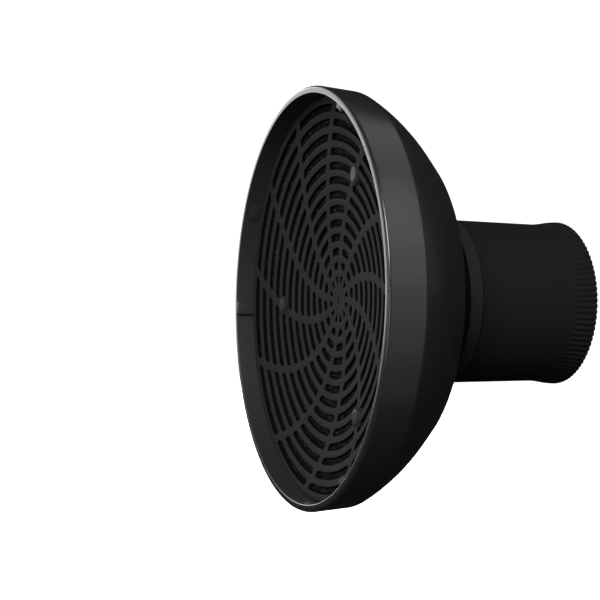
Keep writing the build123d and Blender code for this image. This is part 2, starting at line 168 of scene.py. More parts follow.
def block(
    bm: bmesh.types.BMesh,
    size: tuple[float, float, float],
    station: float,
    radius: float,
    angle: float,
    round_by: float,
) -> None:
    """Adds a block with rounded edges that stands on a wall round the axis.

    Args:
        bm: The bmesh that gets the block.
        size: Depth along the axis, width round it and height towards it, in mm.
        station: Station of the block's middle.
        radius: Radius of the block's middle.
        angle: Clock angle of the block's middle.
        round_by: Radius of its edges, in mm.
    """
    made = bmesh.ops.create_cube(bm, size=MM)["verts"]
    bmesh.ops.scale(bm, vec=size, verts=made)
    edges = list({e for v in made for e in v.link_edges})
    rounded = bmesh.ops.bevel(
        bm,
        geom=edges,
        offset=round_by * MM,
        segments=3,
        profile=0.5,
        affect="EDGES",
        material=-1,
        clamp_overlap=True,
    )["verts"]
    made = list({v for v in made if v.is_valid} | set(rounded))
    place = Matrix.Translation(placed(station, radius, angle)) @ Matrix.Rotation(radians(angle), 4, "X")
    bmesh.ops.transform(bm, matrix=place, verts=made)


def rod(bm: bmesh.types.BMesh, front: float, back: float, radius: float, where: Point) -> None:
    """Adds a round post, with a softened front edge, parallel to the axis.

    Args:
        bm: The bmesh that gets the post.
        front: Its first station.
        back: Its last station.
        radius: Its radius in mm.
        where: Radius and clock angle of its middle.
    """
    soft = min(0.35, radius * 0.2)
    profile = [(front, 0.0), (front, radius - soft), (front + soft, radius), (back, radius), (back, 0.0)]
    made = lathe(bm, profile, 36, closed=False)
    bmesh.ops.translate(bm, vec=placed(-FRONT, where[0], where[1]), verts=made)


# --- Finishes -----------------------------------------------------------------


def linear(colour: str) -> tuple[float, float, float, float]:
    """Turns an sRGB hex value, such as #1c1c1e, into a linear colour with full alpha."""
    parts = [int(colour[i : i + 2], 16) / 255 for i in (1, 3, 5)]
    flat = [c / 12.92 if c <= 0.04045 else ((c + 0.055) / 1.055) ** 2.4 for c in parts]
    return (*flat, 1.0)


def add_node(
    tree: bpy.types.NodeTree, kind: str, settings: dict[str, Any], links: dict[Any, Any]
) -> bpy.types.Node:
    """Adds a node to a tree.

    Args:
        tree: The node tree.
        kind: The node's type name.
        settings: Properties to set on the node.
        links: Input names or numbers, each with a value or with the socket that feeds it.

    Returns:
        The node.
    """
    made = tree.nodes.new(kind)
    for name, value in settings.items():
        setattr(made, name, value)
    for name, value in links.items():
        if isinstance(value, bpy.types.NodeSocket):
            tree.links.new(value, made.inputs[name])
        else:
            made.inputs[name].default_value = value
    return made


def per_mm(size: float) -> float:
    """Scale of a pattern on Object coordinates whose features are this many millimetres."""
    return 1.0 / (size * MM)


@dataclass(frozen=True)
class Finish:
    """A surface: what it is made of, and how it was made."""

    name: str
    colour: str
    roughness: float
    ior: float = 1.5

    def start(self) -> tuple[bpy.types.Material, bpy.types.NodeTree, bpy.types.Node, bpy.types.NodeSocket]:
        """Makes the material with its shader.

        Returns:
            The material, its tree, its shader node and the Object coordinate socket.
        """
        material = bpy.data.materials.new(self.name)
        material.use_nodes = True
        tree = material.node_tree
        tree.nodes.clear()
        shader = add_node(
            tree,
            "ShaderNodeBsdfPrincipled",
            {},
            {"Base Color": linear(self.colour), "Roughness": self.roughness, "IOR": self.ior},
        )
        add_node(tree, "ShaderNodeOutputMaterial", {}, {"Surface": shader.outputs["BSDF"]})
        where = add_node(tree, "ShaderNodeTexCoord", {}, {}).outputs["Object"]
        return material, tree, shader, where

    def noise_at(self, tree: bpy.types.NodeTree, where: Any, size: float, detail: float) -> Any:
        """Value socket of a noise whose features are size mm."""
        settings = {"noise_dimensions": "3D"}
        links = {"Vector": where, "Scale": per_mm(size), "Detail": detail}
        return add_node(tree, "ShaderNodeTexNoise", settings, links).outputs[0]

    def spread(self, tree: bpy.types.NodeTree, value: Any, low: float, high: float) -> Any:
        """Maps the middle of a noise to a range of numbers."""
        links = {"Value": value, "From Min": 0.3, "From Max": 0.7, "To Min": low, "To Max": high}
        return add_node(tree, "ShaderNodeMapRange", {"clamp": True}, links).outputs[0]

    def tint(self, tree: bpy.types.NodeTree, value: Any, dark: str, light: str) -> Any:
        """Colour socket that runs from a dark colour to a light one with a value."""
        ramp = add_node(tree, "ShaderNodeValToRGB", {}, {"Fac": value})
        ramp.color_ramp.elements[0].color = linear(dark)
        ramp.color_ramp.elements[1].color = linear(light)
        return ramp.outputs["Color"]

    def raise_by(
        self, tree: bpy.types.NodeTree, shader: Any, height: Any, depth: float, strength: float
    ) -> None:
        """Gives the shader a bump whose full height is depth mm."""
        links = {"Height": height, "Distance": depth * MM, "Strength": strength}
        bump = add_node(tree, "ShaderNodeBump", {}, links)
        tree.links.new(bump.outputs["Normal"], shader.inputs["Normal"])


@dataclass(frozen=True)
class PolishedMoulding(Finish):
    """Black ABS from a polished mould: a clear but slightly rippled reflection, with haze in patches."""

    ripple: float = 9.0
    haze: float = 26.0
    haze_range: tuple[float, float] = (0.2, 0.29)
    ripple_depth: float = 0.02
    light: str = "#232325"

    def material(self) -> bpy.types.Material:
        """Builds the material."""
        made, tree, shader, where = self.start()
        haze = self.spread(tree, self.noise_at(tree, where, self.haze, 4.0), *self.haze_range)
        tree.links.new(haze, shader.inputs["Roughness"])
        grain = self.noise_at(tree, where, 0.6, 2.0)
        tree.links.new(self.tint(tree, grain, self.colour, self.light), shader.inputs["Base Color"])
        ripple = self.noise_at(tree, where, self.ripple, 1.0)
        self.raise_by(tree, shader, ripple, self.ripple_depth, 0.6)
        return made


@dataclass(frozen=True)
class SparkedMoulding(Finish):
    """Plastic from a spark-eroded mould: an even satin with a grain of a third of a millimetre."""

    grain: float = 0.35
    grain_depth: float = 0.012
    light: str = "#242426"
    shine: float = 0.5

    def material(self) -> bpy.types.Material:
        """Builds the material."""
        made, tree, shader, where = self.start()
        shader.inputs["Specular IOR Level"].default_value = self.shine
        grain = self.noise_at(tree, where, self.grain, 3.0)
        patches = self.noise_at(tree, where, 14.0, 3.0)
        tree.links.new(self.tint(tree, patches, self.colour, self.light), shader.inputs["Base Color"])
        rough = self.spread(tree, grain, self.roughness - 0.06, self.roughness + 0.06)
        tree.links.new(rough, shader.inputs["Roughness"])
        self.raise_by(tree, shader, grain, self.grain_depth, 1.0)
        return made


@dataclass(frozen=True)
class OpenCellFoam(Finish):
    """Black reticulated polyurethane foam: a net of fine struts over near-black cells, which are painted
    shade, with bright specks that are painted glints.
    """

    cell: float = 1.1
    strut: str = "#111112"
    # The spark colour is a painted glint: bright specks of base colour where struts would catch the light.
    spark: str = "#58585c"
    cell_depth: float = 0.5
    shine: float = 0.2

    def material(self) -> bpy.types.Material:
        """Builds the material."""
        made, tree, shader, where = self.start()
        shader.inputs["Specular IOR Level"].default_value = self.shine
        settings = {"feature": "DISTANCE_TO_EDGE"}
        links = {"Vector": where, "Scale": per_mm(self.cell)}
        edge = add_node(tree, "ShaderNodeTexVoronoi", settings, links).outputs["Distance"]
        # Away from the struts the cells take the near-black colour, painted shade for the depth of the open
        # cells.
        links = {"Value": edge, "From Min": 0.02, "From Max": 0.22, "To Min": 1.0, "To Max": 0.0}
        struts = add_node(tree, "ShaderNodeMapRange", {"clamp": True}, links).outputs[0]
        net = self.tint(tree, struts, self.colour, self.strut)
        glint_noise = self.noise_at(tree, where, self.cell * 0.8, 2.0)
        links = {"Value": glint_noise, "From Min": 0.64, "From Max": 0.70, "To Min": 0.0, "To Max": 1.0}
        glint_mask = add_node(tree, "ShaderNodeMapRange", {"clamp": True}, links).outputs[0]
        glint_mix = add_node(tree, "ShaderNodeMix", {"data_type": "RGBA"}, {0: glint_mask, 6: net, 7: linear(self.spark)})
        tree.links.new(glint_mix.outputs[2], shader.inputs["Base Color"])
        self.raise_by(tree, shader, struts, self.cell_depth, 1.0)
        return made


@dataclass(frozen=True)
class MouldedRubber(Finish):
    """Black silicone rubber: nearly flat black, with a faint bloom in patches and a fine stone-like grain."""

    bloom: str = "#1e1e20"
    grain: float = 0.5
    shine: float = 0.25

    def material(self) -> bpy.types.Material:
        """Builds the material."""
        made, tree, shader, where = self.start()
        shader.inputs["Specular IOR Level"].default_value = self.shine
        patches = self.noise_at(tree, where, 11.0, 5.0)
        tree.links.new(self.tint(tree, patches, self.colour, self.bloom), shader.inputs["Base Color"])
        rough = self.spread(tree, patches, self.roughness - 0.05, self.roughness + 0.05)
        tree.links.new(rough, shader.inputs["Roughness"])
        grain = self.noise_at(tree, where, self.grain, 3.0)
        self.raise_by(tree, shader, grain, 0.015, 1.0)
        return made


@dataclass(frozen=True)
class ZincPlate(Finish):
    """Zinc plated steel: bright metal with a slight cloud in its shine."""

    def material(self) -> bpy.types.Material:
        """Builds the material."""
        made, tree, shader, where = self.start()
        shader.inputs["Metallic"].default_value = 1.0
        cloud = self.noise_at(tree, where, 1.2, 3.0)
        rough = self.spread(tree, cloud, self.roughness - 0.08, self.roughness + 0.1)
        tree.links.new(rough, shader.inputs["Roughness"])
        self.raise_by(tree, shader, cloud, 0.01, 0.5)
        return made


@dataclass(frozen=True)
class StudioPaper(Finish):
    """White paper sweep: matt and even."""

    glow: float = 1.0

    def material(self) -> bpy.types.Material:
        """Builds the material."""
        made, tree, shader, where = self.start()
        shader.inputs["Specular IOR Level"].default_value = 0.0
        shader.inputs["Emission Color"].default_value = (1.0, 1.0, 1.0, 1.0)
        shader.inputs["Emission Strength"].default_value = self.glow
        return made


# The bowl: a deep black outside that mirrors soft boxes, and satin where the mould was left plain inside the
# lip, whose lighter colour is painted light for the inner wall.
BOWL_ABS = PolishedMoulding("polished_abs_black", "#1f1f21", 0.24)
INSIDE_LIP_PAINTED_LIGHT = SparkedMoulding("satin_abs_inside_lip_painted_light", "#252526", 0.5, 1.4, light="#2a2a2b", shine=0.4)
COLLAR_ABS = SparkedMoulding("unpolished_abs_collar", "#1a1a1c", 0.55, 1.3, light="#1e1e20", shine=0.3)
# The neck groove and the slots' walls are painted near-black as painted shade, for the dome's shadow and the
# slots' depth.
NECK_GROOVE_PAINTED_SHADE = SparkedMoulding("painted_shade_abs_neck_groove", "#060607", 0.8, 1.3, light="#09090a", shine=0.1)
SLOT_WALL_PAINTED_SHADE = SparkedMoulding("painted_shade_polypropylene_slot_wall", "#070708", 0.9, 1.3, light="#0b0b0c", shine=0.1)
# The grille is an even dark grey, and its plugs are a little smoother, so their domes catch a soft light.
GRILLE_PP = SparkedMoulding("spark_grained_polypropylene", "#222224", 0.8, 1.3, light="#272729", shine=0.2)
PLUG_ABS = SparkedMoulding(
    "fine_grained_abs_plug", "#1c1c1e", 0.45, 1.3, grain_depth=0.004, light="#272729", shine=0.3
)
# The parts inside: plain black mouldings, milky washers, a slightly shiny seal and bright screws.
INNER_PP = SparkedMoulding("plain_polypropylene_inside", "#1a1a1c", 0.5)
SLIP_SHEET = SparkedMoulding("waxy_acetal_sheet", "#c9c8c2", 0.45, light="#d8d7d1")
SEAL_RUBBER = MouldedRubber("smooth_nitrile_ring", "#161617", 0.4, bloom="#1c1c1d")
SCREW_ZINC = ZincPlate("zinc_plated_steel", "#a9aaac", 0.3)
# The soft parts: foam with painted shade in its cells and painted glints on its struts, and rubber with no
# clear reflection at all.
FOAM_PU = OpenCellFoam("reticulated_polyurethane_foam", "#020202", 0.8, 1.2)
SLEEVE_RUBBER = MouldedRubber("moulded_silicone_sleeve", "#101011", 0.8, 1.3, bloom="#151516")
PAPER = StudioPaper("white_paper_sweep", "#f2f2f2", 1.0)


def dress(piece: bpy.types.Object, *materials: bpy.types.Material) -> None:
    """Gives a piece its materials, in the order of its faces' numbers, which clearing would reset."""
    if piece.data.materials:
        piece.data.materials.clear()
    for material in materials:
        piece.data.materials.append(material)


# --- The grille's dish, shared by the grille and the foam behind it -------------


@dataclass(frozen=True)
class Dish:
    """The dished front of the grille, part of a large sphere, and its twelve curved spokes."""

    radius: float = 79.0
    edge: float = 7.8
    depth: float = 8.6
    spokes: int = 12
    phase: float = -3.6
    swirl: float = 0.548

    def station(self, radius: float) -> float:
        """Station of the dish's front at a radius."""
        curve = (self.radius**2 + self.depth**2) / (2 * self.depth)
        return self.edge + self.depth - curve + sqrt(curve**2 - radius**2)

    def spoke(self, radius: float) -> float:
        """Clock angle of the first spoke's middle line at a radius."""
        return self.phase + self.swirl * radius

    def half_angle(self, radius: float, width: float) -> float:
        """Half the angle that a spoke of this width takes up at a radius."""
        lean = atan(radius * radians(self.swirl))
        return degrees(asin(width / 2 / cos(lean) / radius))


# --- Bowl -----------------------------------------------------------------------


@dataclass
class Bowl:
    """The moulded bowl: lip, band, crease, dome and neck collar, with ribs and catch pads inside the lip."""

    lip_radius: float = 85.0
    lip_wall: float = 3.1
    lip_rounds: tuple[float, float] = (0.4, 1.3)
    crease: Point = (15.5, 83.75)
    crease_round: float = 0.7
    dome: float = 77.0
    slopes: tuple[float, float] = (27.6, 46.8)
    edge: float = 62.2
    edge_round: float = 2.5
    back_slope: float = 70.0
    wall: float = 2.6
    seat: Point = (10.5, 80.4)
    groove: float = 34.2
    groove_round: float = 1.5
    collar: tuple[float, float, float] = (58.1, 63.8, 35.0)
    collar_round: float = 0.5
    neck_bore: float = 31.6
    neck_front: float = 43.0
    shoulder: float = 46.7
    stack: float = 34.6
    stack_wall: float = 2.2
    rib: tuple[float, float, float] = (10.2, 5.5, 1.8)
    rib_round: float = 0.35
    catch: tuple[float, float, float] = (4.3, 7.3, 0.4)
    catch_round: float = 0.15
    catch_front: float = 2.8
    catch_offset: float = 31.0
    screw_circle: float = 40.6
    screw_turns: tuple[float, ...] = (45.0, 135.0, 225.0, 315.0)
    screw_boss: Point = (3.4, 5.0)
    steps: int = 240

    def dome_centre(self) -> Point:
        """Centre of the dome's arc in the profile plane."""
        turn = radians(self.slopes[0])
        return (self.crease[0] - self.dome * sin(turn), self.crease[1] - self.dome * cos(turn))

    def dome_arc(self, inset: float, first: float, steps: int) -> list[Point]:
        """Points of the dome from a slope to its last slope, moved in through the wall."""
        return arc(self.dome_centre(), self.dome - inset, 90 - first, 90 - self.slopes[1], steps)

    def edge_point(self, inset: float = 0.0) -> Point:
        """Edge between the dome and the back, moved in through both walls."""
        station, height = self.dome_arc(0.0, self.slopes[0], 1)[-1]
        station += (height - self.edge) / tan(radians(self.slopes[1]))
        middle = radians(self.back_slope + self.slopes[1]) / 2
        reach = inset / cos(radians(self.back_slope - self.slopes[1]) / 2)
        return (station - reach * sin(middle), self.edge - reach * cos(middle))

    def back(self, radius: float, inset: float = 0.0) -> Point:
        """Point of the steep back at a radius, moved in through the wall."""
        station, height = self.edge_point(inset)
        return (station + (height - radius) / tan(radians(self.back_slope)), radius)

    def rounded_edge(self) -> list[Point]:
        """Rounded edge between the dome and the back."""
        soft = self.edge_round
        middle = self.edge_point(soft)
        return arc(middle, soft, 90 - self.slopes[1], 90 - self.back_slope, 5)

    def rounded_root(self) -> list[Point]:
        """Hollow rounding where the back meets the neck's groove."""
        soft = self.groove_round
        high = self.groove + soft
        centre = (self.back(high)[0] + soft / sin(radians(self.back_slope)), high)
        return arc(centre, soft, 270 - self.back_slope, 270, 5)

    def outside(self) -> list[Point]:
        """Profile from the lip's inner edge over the outside to the collar's back."""
        inner = self.lip_radius - self.lip_wall
        soft, wide = self.lip_rounds
        draft = degrees(atan((self.lip_radius - self.crease[1]) / self.crease[0]))
        points = arc((soft, inner + soft), soft, 270, 180, 5)
        points += arc((wide, self.lip_radius - wide - 0.1), wide, 180, 90 - draft, 10)
        edge = self.crease_round
        points.append((self.crease[0] - edge, self.crease[1] + edge * tan(radians(draft))))
        dome = self.dome_arc(0.0, self.slopes[0], 40)
        points += [(self.crease[0] - edge * 0.3, self.crease[1] - 0.02), dome[1], *dome[2:]]
        front, back, radius = self.collar
        points += self.rounded_edge()
        points += self.rounded_root()
        points.append((front, self.groove))
        soft = self.collar_round
        points += arc((front + soft, radius - soft), soft, 180, 90, 4)
        points += arc((back - soft, radius - soft), soft, 90, 0, 4)
        return points

    def inside(self) -> list[Point]:
        """Profile from the collar's back through the neck and up the inside of the dome to the lip."""
        tube = self.stack + self.stack_wall
        height = self.seat[1] - self.dome_centre()[1]
        start = degrees(asin(sqrt(1 - (height / (self.dome - self.wall)) ** 2)))
        lip = self.lip_radius - self.lip_wall
        return [
            (self.collar[1], self.neck_bore + 0.3),
            (self.collar[1] - 0.3, self.neck_bore),
            (self.shoulder, self.neck_bore),
            (self.shoulder, self.stack),
            (self.neck_front, self.stack),
            (self.neck_front, tube),
            self.back(tube, self.wall),
            self.edge_point(self.wall),
            *reversed(self.dome_arc(self.wall, start, 24)),
            (self.seat[0] + 0.4, self.seat[1]),
            (self.seat[0], self.seat[1] + 0.4),
            (self.seat[0], lip - 0.2),
        ]

    def mesh(self) -> bpy.types.Object:
        """Builds the shell with its ribs, catch pads and screw bosses."""
        bm = bmesh.new()
        lathe(bm, self.outside() + self.inside(), self.steps)
        wall = self.lip_radius - self.lip_wall
        depth, width, height = self.rib
        long, broad, proud = self.catch
        sunk = 0.8
        for turn in THIRDS:
            rib, middle = (depth, width, height + sunk), depth / 2 + 0.05
            block(bm, rib, middle, wall - (height - sunk) / 2, turn, self.rib_round)
            pad, middle = (long, broad, proud + sunk), self.catch_front + long / 2
            turn += self.catch_offset
            block(bm, pad, middle, wall - (proud - sunk) / 2, turn, self.catch_round)
        radius, length = self.screw_boss
        for turn in self.screw_turns:
            rod(bm, self.neck_front, self.neck_front + length, radius, (self.screw_circle, turn))
        for face in bm.faces:
            middle = face.calc_center_median()
            face.material_index = self.zone(middle.x / MM - FRONT, hypot(middle.y, middle.z) / MM)
        return new_piece(bm, "bowl", Body.BOWL)

    def zone(self, station: float, radius: float) -> int:
        """Number of the finish at a place: 0 outside, 1 inside the lip, lightened as painted light, 2 neck
        groove, darkened as painted shade, and 3 collar.
        """
        if station < self.seat[0] and radius < self.lip_radius - self.lip_wall + 0.1:
            return 1
        if station < self.neck_front or radius > self.groove + self.groove_round + 0.1:
            return 0
        return 2 if station < self.collar[0] else 3

    def build(self) -> bpy.types.Object:
        """Builds and dresses the bowl."""
        piece = self.mesh()
        # Inside the lip the finish is lightened as painted light, and in the neck groove it is darkened as
        # painted shade.
        finishes = (BOWL_ABS, INSIDE_LIP_PAINTED_LIGHT, NECK_GROOVE_PAINTED_SHADE, COLLAR_ABS)
        dress(piece, *(finish.material() for finish in finishes))
        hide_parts("bowl_shell")
        return piece


# --- Grille -----------------------------------------------------------------------


@dataclass
class Grille:
    """The dished plate: thirteen rings of slots between twelve curved spokes, a rim, a skirt and bosses."""

    dish: Dish = field(default_factory=Dish)
    rim: float = 81.15
    wall: float = 1.6
    rows: int = 13
    first: float = 8.0
    pitch: float = 5.73
    slot: float = 3.05
    spoke: float = 3.05
    hub_spoke: float = 2.4
    corner: float = 1.35
    edge_round: float = 0.3
    skirt: tuple[float, float, float] = (78.8, 80.0, 15.0)
    notch: tuple[float, float] = (3.15, 79.7)
    boss_circle: float = 54.4
    boss: tuple[float, float] = (4.3, 19.0)
    pocket: tuple[float, float] = (3.33, 16.0)
    boss_proud: float = 0.6
    plug_radius: float = 3.28
    plug_dome: float = 0.55
    plug_dimple: float = 1.0
    plug_depth: float = 0.9
    hub_mark: float = 1.5
    corner_spans: int = 4
    arc_spans: int = 6
    rim_spans: int = 80
    painted_shade_wall_facing: float = 0.75

    def border(self, row: int) -> float:
        """Radius where the cell of a row begins, halfway along the bar before it."""
        if row == 0:
            return self.first - self.slot / 2 - 0.6
        if row == self.rows:
            return self.first + (row - 1) * self.pitch + self.slot / 2 + 0.9
        return self.first + (row - 0.5) * self.pitch

    def on_dish(self, radius: float, share: float) -> Vector:
        """Point on the dish, a share of the way from one spoke's middle line to the next."""
        angle = self.dish.spoke(radius) + share * 360 / self.dish.spokes
        return placed(self.dish.station(radius), radius, angle)

    def slot_point(self, row: int, inward: float, along: float, outer: bool, far: bool) -> Vector:
        """Point of a slot's outline, from distances in mm to its nearest ring edge and spoke edge.

        Args:
            row: Row of the slot.
            inward: Distance from the ring edge.
            along: Distance from the spoke's edge.
            outer: Whether the ring edge is the outer one.
            far: Whether the spoke is the second one.

        Returns:
            The point.
        """
        middle = self.first + row * self.pitch
        radius = middle + (self.slot / 2 - inward) * (1 if outer else -1)
        half = self.dish.half_angle(radius, self.hub_spoke if row == 0 else self.spoke)
        share = (half + degrees(along / radius)) * self.dish.spokes / 360
        return self.on_dish(radius, 1 - share if far else share)

    def quarter(self, row: int, outer: bool, far: bool) -> tuple[list[Vector], list[Vector]]:
        """One corner of a cell, from its spoke side to its ring side.

        Returns:
            The slot's rounded corner and the cell's square one, with as many points each.
        """
        middle = self.first + row * self.pitch
        inner_width = radians(360 / self.dish.spokes) * (middle - self.slot / 2) - 1.1 * self.hub_spoke
        soft = min(self.corner, 0.4 * inner_width if row == 0 else self.corner)
        low, high = self.border(row), self.border(row + 1)
        slot, cell = [], []
        for step in range(self.corner_spans + 1):
            turn = radians(90 * step / self.corner_spans)
            slot.append(self.slot_point(row, soft * (1 - sin(turn)), soft * (1 - cos(turn)), outer, far))
            past = step - self.corner_spans / 2
            depth = max(0.0, -past) * 0.15
            radius = high - (high - low) * depth if outer else low + (high - low) * depth
            share = max(0.0, past) * 0.04
            cell.append(self.on_dish(radius, 1 - share if far else share))
        return slot, cell

    def cell(self, bm: bmesh.types.BMesh, row: int) -> None:
        """Adds the ring of faces between one slot and the cell round it."""
        slot_loop: list[Vector] = []
        cell_loop: list[Vector] = []
        for outer, far in ((False, False), (False, True), (True, True), (True, False)):
            slot, cell = self.quarter(row, outer, far)
            if outer != far:
                slot.reverse()
                cell.reverse()
                start, end = slot_loop[-1], slot[0]
                first, last = cell_loop[-1], cell[0]
                for step in range(1, self.arc_spans):
                    share = step / self.arc_spans
                    slot_loop.append(self.between(start, end, share))
                    cell_loop.append(self.between(first, last, share))
            slot_loop += slot
            cell_loop += cell
        loops = []
        for points in (slot_loop, cell_loop):
            verts = [bm.verts.new(p) for p in points]
            loops.append([bm.edges.new((a, b)) for a, b in zip(verts, verts[1:] + verts[:1])])
        bmesh.ops.bridge_loops(bm, edges=loops[0] + loops[1])

    def between(self, start: Vector, end: Vector, share: float) -> Vector:
        """Point a share of the way round a ring from one point to another on it."""
        spin = Vector((start.z, start.y)).angle_signed(Vector((end.z, end.y)))
        turned = Matrix.Rotation(spin * share, 3, "X") @ start
        return Vector((start.x, turned.y, turned.z))

    def plate(self, bm: bmesh.types.BMesh) -> None:
        """Adds the dished plate, with its slots, hub and rim."""
        for row in range(self.rows):
            self.cell(bm, row)
        bmesh.ops.spin(
            bm,
            geom=bm.verts[:] + bm.edges[:] + bm.faces[:],
            cent=(0.0, 0.0, 0.0),
            axis=AXIS,
            angle=2 * pi * (self.dish.spokes - 1) / self.dish.spokes,
            steps=self.dish.spokes - 1,
            use_duplicate=True,
        )
        bmesh.ops.remove_doubles(bm, verts=bm.verts[:], dist=0.02 * MM)
        self.close_hub(bm)
        self.close_rim(bm)
        bmesh.ops.recalc_face_normals(bm, faces=bm.faces[:])
        grown = bmesh.ops.extrude_face_region(bm, geom=bm.faces[:], use_keep_orig=True)["geom"]
        back = [v for v in grown if isinstance(v, bmesh.types.BMVert)]
        bmesh.ops.translate(bm, vec=(self.wall * MM, 0.0, 0.0), verts=back)
        bmesh.ops.recalc_face_normals(bm, faces=bm.faces[:])
        sharp = [e for e in bm.edges if e.calc_face_angle(0.0) > radians(50)]
        across = [e for e in sharp if abs(e.verts[0].co.x - e.verts[1].co.x) < self.wall * MM * 0.9]
        bmesh.ops.bevel(
            bm,
            geom=across,
            offset=self.edge_round * MM,
            segments=2,
            profile=0.5,
            affect="EDGES",
            material=-1,
            clamp_overlap=True,
        )

    def rim_of(self, edges: Iterable[Any], low: float, high: float) -> list[Any]:
        """Open edges whose ends both lie between two radii in mm."""
        free = [e for e in edges if e.is_boundary]
        return [e for e in free if all(low < hypot(v.co.y, v.co.z) / MM < high for v in e.verts)]

    def close_hub(self, bm: bmesh.types.BMesh) -> None:
        """Closes the middle with a disc that carries a small round mark."""
        edge, mark, sunk_by = self.border(0), self.hub_mark, 0.25
        rings = [(edge * 0.6, 0.0), (mark, 0.0), (mark - 0.25, sunk_by), (mark - 0.9, sunk_by)]
        loop = self.rim_of(bm.edges, 0.0, edge + 0.05)
        for radius, sunk in rings:
            grown = bmesh.ops.extrude_edge_only(bm, edges=loop)["geom"]
            loop = [e for e in grown if isinstance(e, bmesh.types.BMEdge) and e.is_boundary]
            for vert in {v for e in loop for v in e.verts}:
                scale = radius * MM / hypot(vert.co.y, vert.co.z)
                vert.co = Vector((at(self.dish.station(radius) + sunk), vert.co.y * scale, vert.co.z * scale))
        bmesh.ops.contextual_create(bm, geom=loop)

    def close_rim(self, bm: bmesh.types.BMesh) -> None:
        """Adds the plain rim, notched where the bowl's ribs pass."""
        reach = self.border(self.rows)
        loop = self.rim_of(bm.edges, reach - 0.05, reach + 0.05)
        half, notch_radius = self.notch
        corner = degrees(asin(half / self.rim))
        points: list[Vector] = []
        for turn in THIRDS:
            for side in (-1, 1):
                radii = (self.rim, notch_radius) if side < 0 else (notch_radius, self.rim)
                points += [placed(self.dish.edge, r, turn + side * corner) for r in radii]
            span = 120 - 2 * corner
            for step in range(1, self.rim_spans):
                past = turn + corner + span * step / self.rim_spans
                points.append(placed(self.dish.edge, self.rim, past))
        verts = [bm.verts.new(p) for p in points]
        outline = [bm.edges.new((a, b)) for a, b in zip(verts, verts[1:] + verts[:1])]
        bmesh.ops.bridge_loops(bm, edges=loop + outline)

    def mesh(self) -> bpy.types.Object:
        """Builds the plate with its skirt and bosses."""
        bm = bmesh.new()
        self.plate(bm)
        bm.normal_update()
        # Faces that turn away from the front, the slots' walls and the rim's edge, get the second finish,
        # which is painted shade.
        for face in bm.faces:
            face.material_index = int(abs(face.normal.x) < self.painted_shade_wall_facing)
        inner, outer, back = self.skirt
        front = self.dish.edge + self.wall - 0.4
        soft = 0.3
        tube = [(front, inner), (front, outer), (back - soft, outer), (back, outer - soft), (back, inner)]
        lathe(bm, tube, 180)
        radius, boss_back = self.boss
        hole, floor = self.pocket
        boss_front = self.dish.station(self.boss_circle) - self.boss_proud
        soft = 0.45
        tube = [
            *arc((boss_front + soft, radius - soft), soft, 180, 90, 4)[::-1],
            (boss_front, hole + 0.15),
            (boss_front + 0.15, hole),
            (floor, hole),
            (floor, 1.65),
            (boss_back, 1.65),
            (boss_back, radius),
        ]
        for turn in THIRDS:
            made = lathe(bm, tube, 48)
            bmesh.ops.translate(bm, vec=placed(-FRONT, self.boss_circle, turn), verts=made)
        return new_piece(bm, "grille", Body.CASSETTE)

    def plug(self, number: int, turn: float) -> bpy.types.Object:
        """Builds one domed plug with its gate dimple."""
        radius, dome = self.plug_radius, self.plug_dome
        front = self.dish.station(self.boss_circle) - self.boss_proud
        turns = [radians(90 * step / 8) for step in range(3, 9)]
        crown = [(front - dome * cos(t), radius * sin(t)) for t in turns]
        dimple = [(front - dome * 0.55, 0.0), (front - dome * 0.6, self.plug_dimple * 0.5)]
        back = front + self.plug_depth
        profile = [*dimple, *crown, (back, radius), (back, 0.0)]
        bm = bmesh.new()
        made = lathe(bm, profile, 48, closed=False)
        bmesh.ops.translate(bm, vec=placed(-FRONT, self.boss_circle, turn), verts=made)
        return new_piece(bm, f"plug_{number}", Body.CASSETTE, sharp=50.0)

    def build(self) -> list[bpy.types.Object]:
        """Builds and dresses the grille and its three plugs."""
        plate = self.mesh()
        dress(plate, GRILLE_PP.material(), SLOT_WALL_PAINTED_SHADE.material())
        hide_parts("front_grille")
        finish = PLUG_ABS.material()
        made = [plate]
        for number, turn in enumerate(THIRDS, start=1):
            cap = self.plug(number, turn)
            dress(cap, finish)
            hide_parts(f"boss_plug_{number}")
            made.append(cap)
        return made


# --- Foam -------------------------------------------------------------------------


